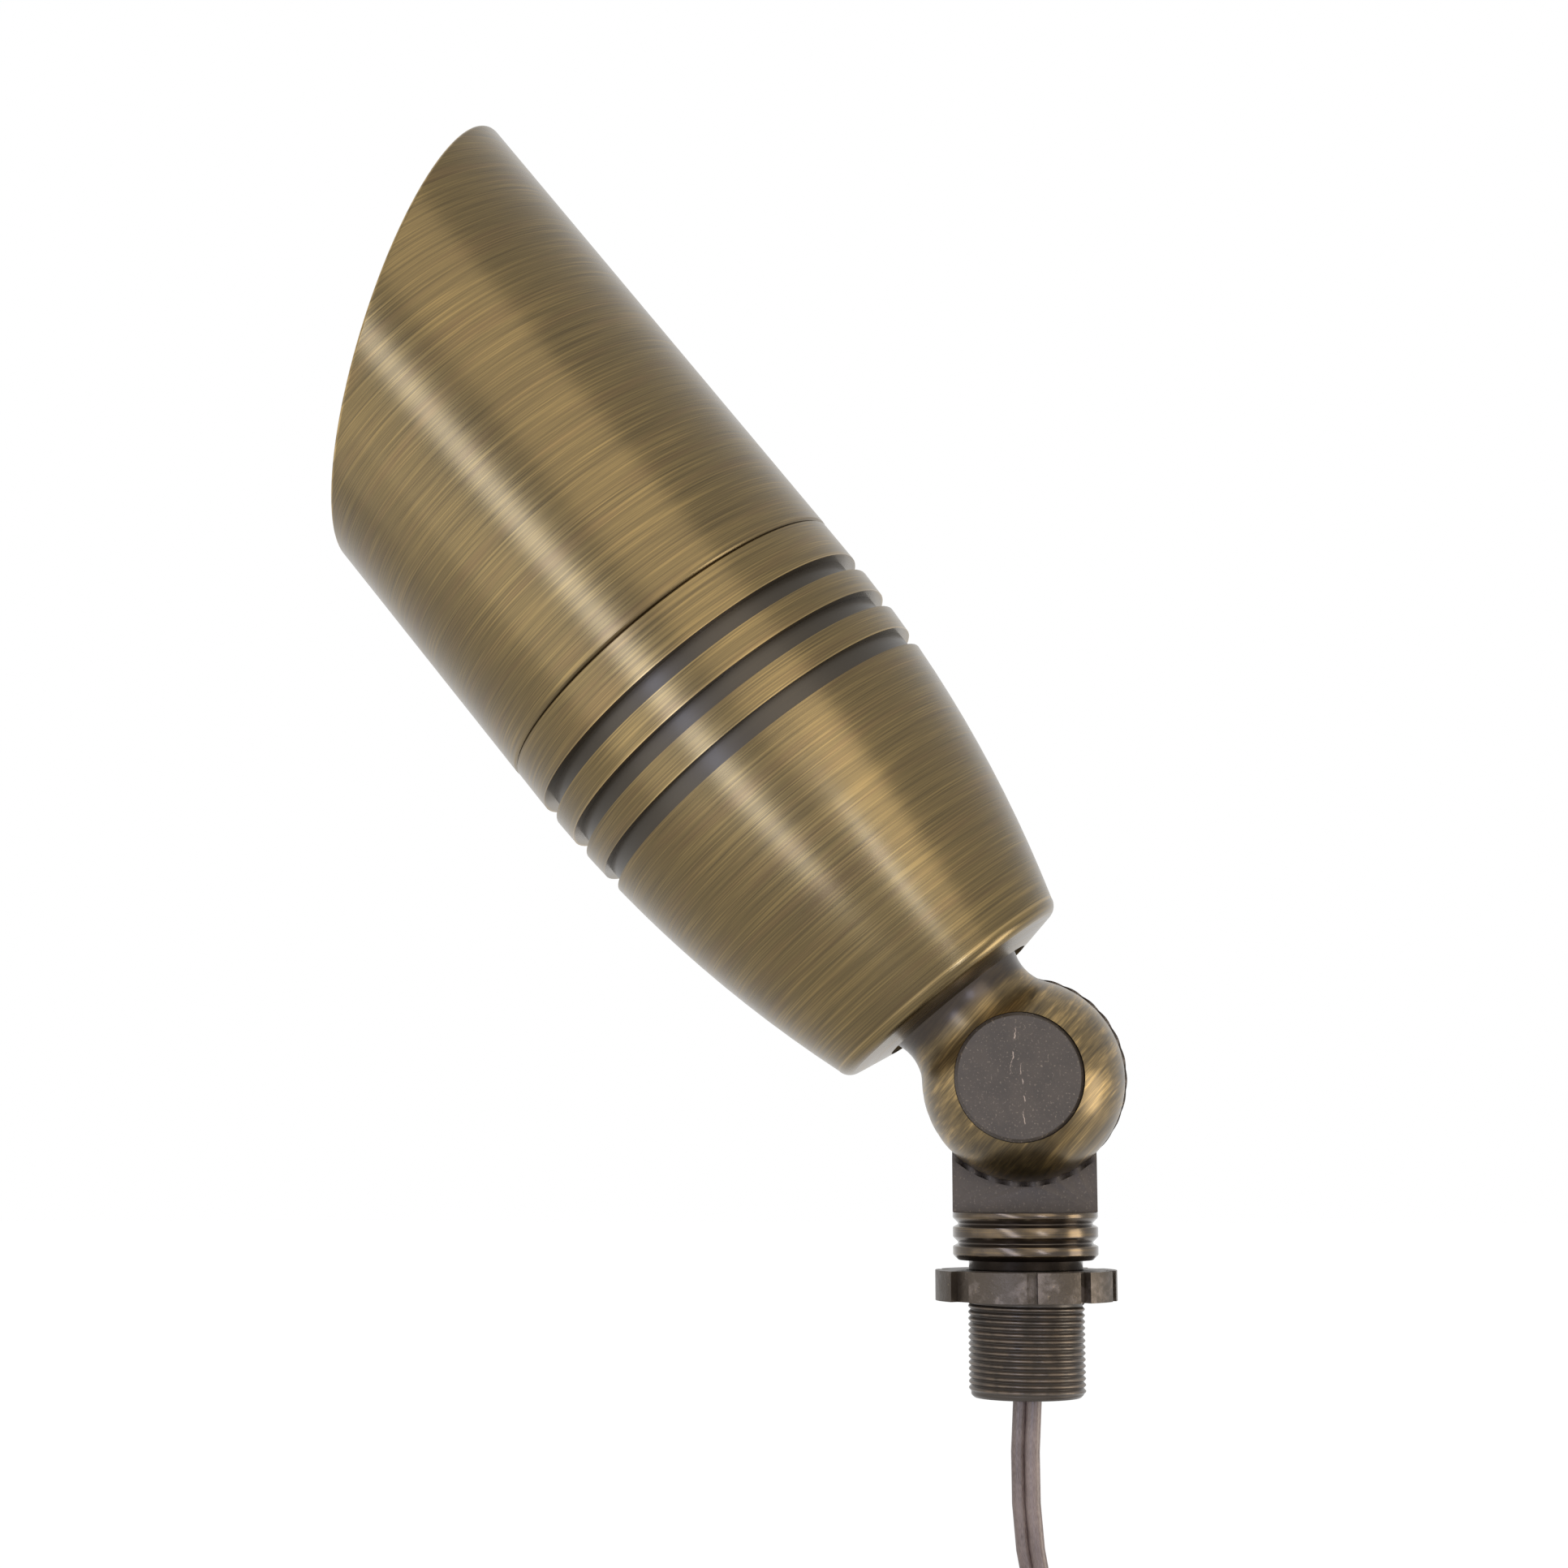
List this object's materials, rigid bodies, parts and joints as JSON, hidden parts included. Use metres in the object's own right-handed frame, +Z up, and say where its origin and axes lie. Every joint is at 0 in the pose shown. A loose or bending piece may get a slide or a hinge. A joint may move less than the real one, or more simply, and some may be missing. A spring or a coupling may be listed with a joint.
{
  "type": "landscape spotlight",
  "caption": "Slant-cut bullet spotlight with a ringed tapered housing on a serrated ball knuckle, with a threaded nipple, a locknut and a cord.",
  "frame": {"origin": "centre of the nipple's thread in the plane of the locknut's seat", "axes": "+Z up along the stem, the knuckle's hinge axis along Y, the head leans towards -X at rest"},
  "size_m": [0.2177, 0.0981, 0.2814],
  "materials": {
    "bronze_housing": "turned brass with a dark bronze patina, fine circumferential brushing",
    "bronze_knuckle": "cast and turned brass with a dark bronze patina",
    "bronze_nut": "rough cast brass with a dark bronze patina",
    "stainless": "plain stainless steel",
    "bracket_steel": "bare stainless sheet",
    "seal_rubber": "black silicone rubber",
    "cord_jacket": "soft vinyl jacket",
    "lead_sleeve": "pale glass-fibre sleeving",
    "ceramic": "steatite ceramic",
    "lamp_glass": "clear pressed glass",
    "reflector_coating": "coated glass reflector",
    "lens_glass": "clear tempered glass",
    "pin_metal": "nickel-plated pins"
  },
  "bodies": {
    "mount_stem": {"knuckle_stem": "bronze_knuckle", "cable_bushing": "seal_rubber", "supply_leads": "lead_sleeve", "knuckle_o_ring": "seal_rubber", "power_cable": "cord_jacket", "cable_coil": "cord_jacket"},
    "locknut": {"locknut": "bronze_nut"},
    "lamp_head": {"knuckle_head": "bronze_knuckle", "pivot_washer": "stainless", "rear_housing": "bronze_housing", "neck_gasket": "seal_rubber", "neck_lock_nut": "bronze_nut", "shield_o_rings": "seal_rubber", "socket_bracket": "bracket_steel", "lamp_socket": "ceramic", "socket_screws": "stainless", "socket_leads": "lead_sleeve", "lamp_pins": "pin_metal", "lamp_base": "ceramic", "lamp_reflector": "reflector_coating", "lamp_capsule": "lamp_glass", "lamp_cover_glass": "lamp_glass", "lamp_seat_ring": "bracket_steel"},
    "pivot_screw": {"pivot_screw": "stainless"},
    "pivot_cap": {"pivot_cap": "bronze_knuckle", "cap_o_ring": "seal_rubber"},
    "lens_unit": {"lens_retaining_ring": "bronze_housing", "lens": "lens_glass", "lens_gasket": "seal_rubber"},
    "glare_shield": {"glare_shield": "bronze_housing"}
  },
  "joints": [
    {"name": "locknut_turn", "type": "hinge", "parent": "mount_stem", "child": "locknut", "pos_m": [0, 0, 0], "axis": [0, 0, 1], "continuous": true},
    {"name": "knuckle_tilt", "type": "hinge", "parent": "mount_stem", "child": "lamp_head", "pos_m": [0, 0, 0.0376], "axis": [0, 1, 0], "range_deg": [-60, 132]},
    {"name": "screw_turn", "type": "hinge", "parent": "lamp_head", "child": "pivot_screw", "pos_m": [0, 0, 0.0376], "axis": [0, 1, 0], "continuous": true},
    {"name": "cap_pull", "type": "slide", "parent": "lamp_head", "child": "pivot_cap", "axis": [0, -1, 0], "range_m": [0, 0.01]},
    {"name": "shield_pull", "type": "slide", "parent": "lamp_head", "child": "lens_unit", "axis": [-0.6252, 0, 0.7804], "range_m": [0, 0.035]},
    {"name": "shield_turn", "type": "hinge", "parent": "lens_unit", "child": "glare_shield", "pos_m": [0, 0, 0.0376], "axis": [-0.6252, 0, 0.7804], "continuous": true}
  ]
}
